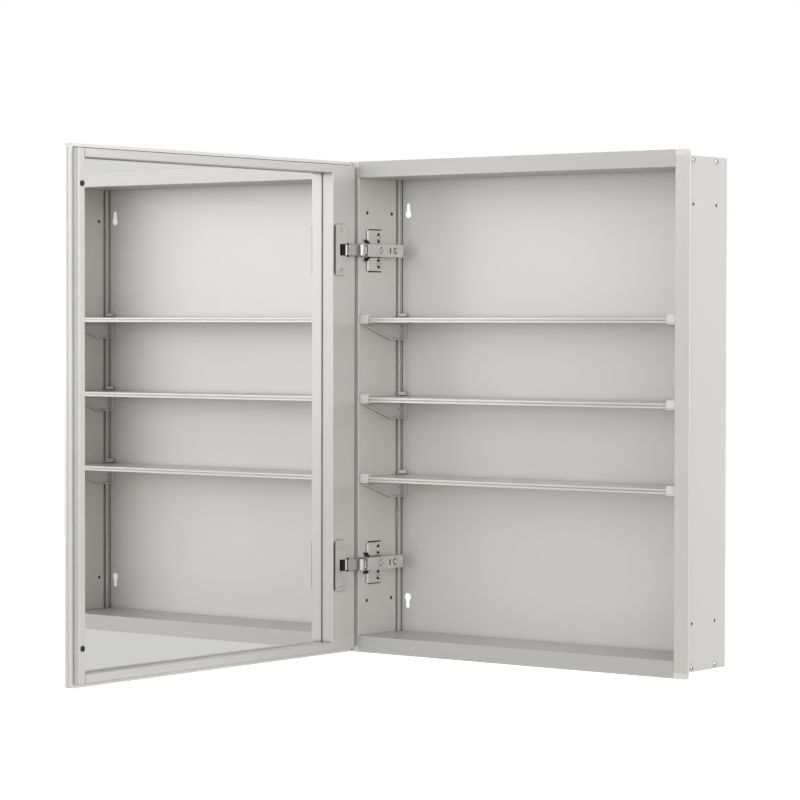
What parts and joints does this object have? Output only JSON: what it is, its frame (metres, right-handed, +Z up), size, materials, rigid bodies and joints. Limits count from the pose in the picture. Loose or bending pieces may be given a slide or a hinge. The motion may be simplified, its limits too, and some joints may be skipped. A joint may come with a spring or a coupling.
{
  "type": "wall-hung medicine cabinet",
  "caption": "Wall-hung medicine cabinet: shallow flanged metal case, movable shelves in rear tracks, and a mirrored door on concealed hinges, open at a right angle.",
  "frame": {"origin": "centre of the back panel's rear face, on the wall", "axes": "+X to the right seen from the front, +Y into the wall, +Z up"},
  "size_m": [0.5059, 0.5956, 0.61],
  "materials": {
    "case_aluminium": "satin pale grey coating on aluminium",
    "white_back": "satin pale coating on steel sheet",
    "trim_aluminium": "satin anodised",
    "frame_aluminium": "satin warm grey coating on aluminium",
    "shelf_aluminium": "satin anodised",
    "pale_plastic": "moulded, light grey",
    "mirror_glass": "silvered glass",
    "nickel_steel": "nickel plated",
    "zinc_screws": "zinc plated",
    "black_rubber": "matt"
  },
  "bodies": {
    "case": {"side_panel_left": "case_aluminium", "side_panel_right": "case_aluminium", "top_panel": "case_aluminium", "bottom_panel": "case_aluminium", "back_panel": "white_back", "back_panel_screws": "zinc_screws", "corner_cap_upper_left": "pale_plastic", "corner_cap_upper_right": "pale_plastic", "corner_cap_lower_left": "pale_plastic", "corner_cap_lower_right": "pale_plastic", "case_screws_left": "zinc_screws", "case_screws_right": "zinc_screws", "hinge_plate_upper": "nickel_steel", "hinge_plate_lower": "nickel_steel", "hinge_arm_upper": "nickel_steel", "hinge_arm_lower": "nickel_steel", "hinge_plate_screws": "zinc_screws", "hinge_arm_screws_front": "zinc_screws", "hinge_arm_screws_rear": "zinc_screws", "hinge_rivets": "nickel_steel"},
    "door": {"door_trim_top": "trim_aluminium", "door_trim_bottom": "trim_aluminium", "door_trim_hinge": "trim_aluminium", "door_trim_free": "trim_aluminium", "door_stile_hinge": "frame_aluminium", "door_stile_free": "frame_aluminium", "door_rail_top": "frame_aluminium", "door_rail_bottom": "frame_aluminium", "door_end_plugs": "pale_plastic", "front_mirror": "mirror_glass", "inner_mirror": "mirror_glass", "door_bumpers": "black_rubber", "hinge_cup_upper": "nickel_steel", "hinge_cup_lower": "nickel_steel", "hinge_cup_screws": "zinc_screws", "hinge_cup_pins": "nickel_steel"},
    "link_upper": {"hinge_link_upper": "nickel_steel"},
    "link_lower": {"hinge_link_lower": "nickel_steel"},
    "shelf_upper": {"shelf_upper": "shelf_aluminium", "shelf_bracket_upper_left": "pale_plastic", "shelf_bracket_upper_right": "pale_plastic"},
    "shelf_middle": {"shelf_middle": "shelf_aluminium", "shelf_bracket_middle_left": "pale_plastic", "shelf_bracket_middle_right": "pale_plastic"},
    "shelf_lower": {"shelf_lower": "shelf_aluminium", "shelf_bracket_lower_left": "pale_plastic", "shelf_bracket_lower_right": "pale_plastic"}
  },
  "joints": [
    {"name": "door_hinge", "type": "hinge", "parent": "case", "child": "door", "pos_m": [-0.242, -0.1011, 0], "axis": [0, 0, 1], "range_deg": [-3, 90]},
    {"name": "link_upper_pivot", "type": "hinge", "parent": "door", "child": "link_upper", "pos_m": [-0.2363, -0.1177, 0.195], "axis": [0, 0, 1], "range_deg": [-64.1, 2.2]},
    {"name": "link_lower_pivot", "type": "hinge", "parent": "door", "child": "link_lower", "pos_m": [-0.2363, -0.1177, -0.195], "axis": [0, 0, 1], "range_deg": [-64.1, 2.2]},
    {"name": "shelf_upper_slide", "type": "slide", "parent": "case", "child": "shelf_upper", "axis": [0, 0, 1], "range_m": [-0.03, 0.045]},
    {"name": "shelf_middle_slide", "type": "slide", "parent": "case", "child": "shelf_middle", "axis": [0, 0, 1], "range_m": [-0.03, 0.03]},
    {"name": "shelf_lower_slide", "type": "slide", "parent": "case", "child": "shelf_lower", "axis": [0, 0, 1], "range_m": [-0.045, 0.03]}
  ],
  "couplings": [
    {"joint": "link_upper_pivot", "follows": "door_hinge", "ratio": -0.7112},
    {"joint": "link_lower_pivot", "follows": "door_hinge", "ratio": -0.7112}
  ]
}
